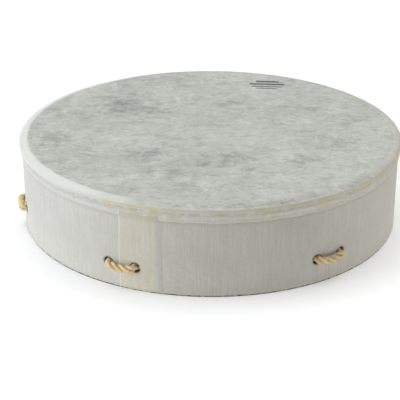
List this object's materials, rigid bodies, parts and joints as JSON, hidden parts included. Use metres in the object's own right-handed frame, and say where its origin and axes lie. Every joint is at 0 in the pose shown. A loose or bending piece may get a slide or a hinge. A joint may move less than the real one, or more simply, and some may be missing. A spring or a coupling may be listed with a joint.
{
  "type": "frame drum",
  "caption": "Round open-backed frame drum: film head bonded over a cloth-covered ring shell, with rope laced through the wall into a star-shaped hand grip.",
  "frame": {"origin": "on the drum's axis, in the plane of the bottom rim", "axes": "+Z along the drum's axis towards the playing head, -Y towards the front"},
  "size_m": [0.4154, 0.4064, 0.0945],
  "materials": {
    "shell_fibre": "bare laminated fibre ring, matte dark grey-brown",
    "cover_cloth": "off-white ribbed cloth, matte",
    "hoop_fibre": "plain fibre hoop, hidden",
    "collar_fibre": "bonded fibre strip, slightly yellowed, matte",
    "head_film": "film with mottled white fibres, semi-matte",
    "collar_film": "smooth glue-soaked band over the rim, yellowish white, semi-matte",
    "lacing_rope": "natural golden three-strand rope",
    "binding_cord": "thin natural cord"
  },
  "bodies": {
    "root": {"shell": "shell_fibre", "shell_cover": "cover_cloth", "head_hoop": "hoop_fibre", "collar_strip": "collar_fibre", "drumhead": "head_film", "head_collar": "collar_film", "lacing_rope_1": "lacing_rope", "lacing_rope_2": "lacing_rope", "lacing_rope_3": "lacing_rope", "arm_whipping_1": "binding_cord", "arm_whipping_2": "binding_cord", "arm_whipping_3": "binding_cord", "arm_whipping_4": "binding_cord", "arm_whipping_5": "binding_cord", "arm_whipping_6": "binding_cord", "hub_seizing_1": "binding_cord", "hub_seizing_2": "binding_cord", "hub_seizing_3": "binding_cord"}
  },
  "joints": []
}
